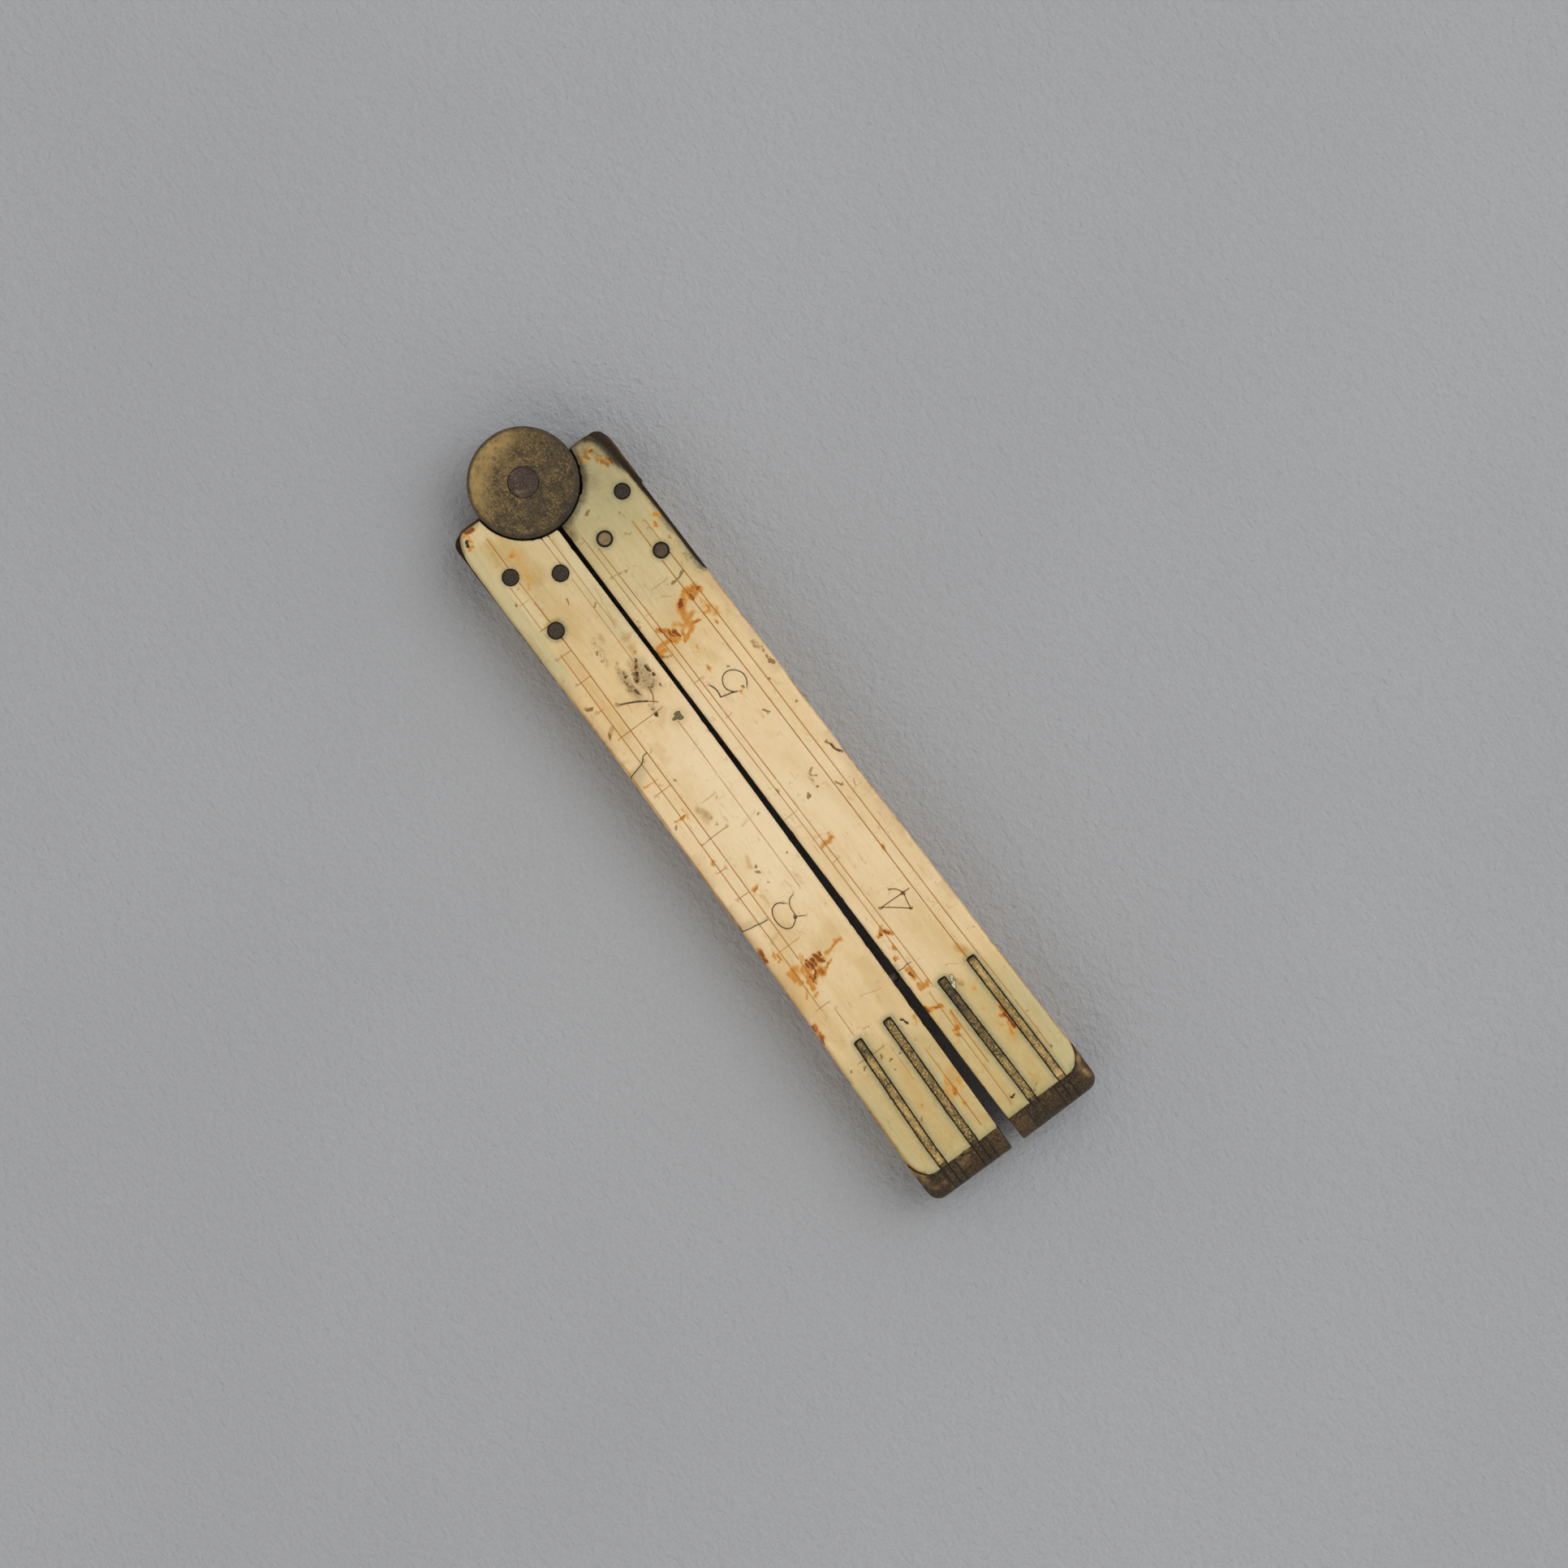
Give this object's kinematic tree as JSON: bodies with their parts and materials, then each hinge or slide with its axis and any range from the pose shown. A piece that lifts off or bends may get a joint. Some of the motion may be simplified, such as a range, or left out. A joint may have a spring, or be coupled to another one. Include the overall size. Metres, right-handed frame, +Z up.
{
  "type": "four-fold pocket rule",
  "caption": "Folding ivory pocket rule with a round brass head joint, brass end hinges, pinned joint plates and engraved inch scales, shown folded flat.",
  "frame": {"origin": "bottom centre of the folded rule's box, on the table under it", "axes": "+Z up, out of the face with the head disc; +X along the legs from the head joint to the end hinges; +Y towards leg 2 and leg 1"},
  "size_m": [0.0842, 0.0196, 0.006],
  "materials": {
    "ivory": "aged ivory, satin polish, yellowed and stained",
    "joint_brass": "brown-grey patina, worn brighter at the rim",
    "strip_brass": "tarnished golden brown",
    "barrel_brass": "dark brown patina",
    "plate_brass": "dark patina",
    "pin_brass": "dark tarnish",
    "rivet_bronze": "dark brown, pitted",
    "closing_pin_steel": "dull steel"
  },
  "bodies": {
    "leg3": {"leg3_cross_pins": "pin_brass", "leg3_hinge_leaf_inner": "strip_brass", "leg3_hinge_leaf_outer": "strip_brass", "leg3_hinge_pin": "pin_brass", "leg3_ivory": "ivory", "leg3_outer_knuckle": "barrel_brass", "leg3_plate_pins": "pin_brass", "leg3_tongue_plate": "plate_brass", "closing_pin": "closing_pin_steel"},
    "leg2": {"leg2_cross_pins": "pin_brass", "leg2_fork_plate": "plate_brass", "leg2_hinge_leaf_inner": "strip_brass", "leg2_hinge_leaf_outer": "strip_brass", "leg2_hinge_pin": "pin_brass", "leg2_ivory": "ivory", "leg2_outer_knuckle": "barrel_brass", "leg2_plate_pins": "pin_brass", "head_disc_top": "joint_brass", "head_disc_bottom": "joint_brass", "head_rivet": "rivet_bronze"},
    "leg4": {"leg4_cross_pins": "pin_brass", "leg4_hinge_leaf_inner": "strip_brass", "leg4_hinge_leaf_middle": "strip_brass", "leg4_inner_knuckle": "barrel_brass", "leg4_ivory": "ivory", "leg4_middle_knuckle": "barrel_brass", "leg4_tip_cap": "plate_brass", "leg4_tip_pins": "pin_brass"},
    "leg1": {"leg1_cross_pins": "pin_brass", "leg1_hinge_leaf_inner": "strip_brass", "leg1_hinge_leaf_middle": "strip_brass", "leg1_inner_knuckle": "barrel_brass", "leg1_ivory": "ivory", "leg1_middle_knuckle": "barrel_brass", "leg1_tip_cap": "plate_brass", "leg1_tip_pins": "pin_brass"}
  },
  "joints": [
    {"name": "head_joint", "type": "hinge", "parent": "leg3", "child": "leg2", "pos_m": [-0.0367, -0.00082, 0.00435], "axis": [0, 0, 1], "range_deg": [-0.78, 179.2]},
    {"name": "left_end_hinge", "type": "hinge", "parent": "leg3", "child": "leg4", "pos_m": [0.0395, -0.00522, 0.0029], "axis": [0, -1, 0], "range_deg": [0, 180]},
    {"name": "right_end_hinge", "type": "hinge", "parent": "leg2", "child": "leg1", "pos_m": [0.03942, 0.00519, 0.0029], "axis": [0.014, -0.9999, 0], "range_deg": [0, 180]}
  ]
}
